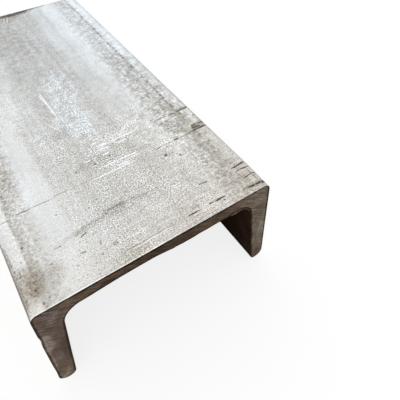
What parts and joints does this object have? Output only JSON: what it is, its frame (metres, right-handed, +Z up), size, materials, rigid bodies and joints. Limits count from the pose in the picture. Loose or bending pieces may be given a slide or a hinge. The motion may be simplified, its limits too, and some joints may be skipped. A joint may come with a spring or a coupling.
{
  "type": "steel channel section",
  "caption": "Short length of rolled steel channel with a flat web, tapered flanges, rounded roots and square sawn ends, used as framing and support stock.",
  "frame": {"origin": "on the floor, under the middle of the piece as it lies on the toes of its flanges", "axes": "+X across the section, +Y along the stock, +Z up, out of the back of the web"},
  "size_m": [0.1, 0.21, 0.05],
  "materials": {
    "steel": "pickled rolled surface with a fine mottle, darker sawn ends"
  },
  "bodies": {
    "root": {"channel": "steel"}
  },
  "joints": []
}
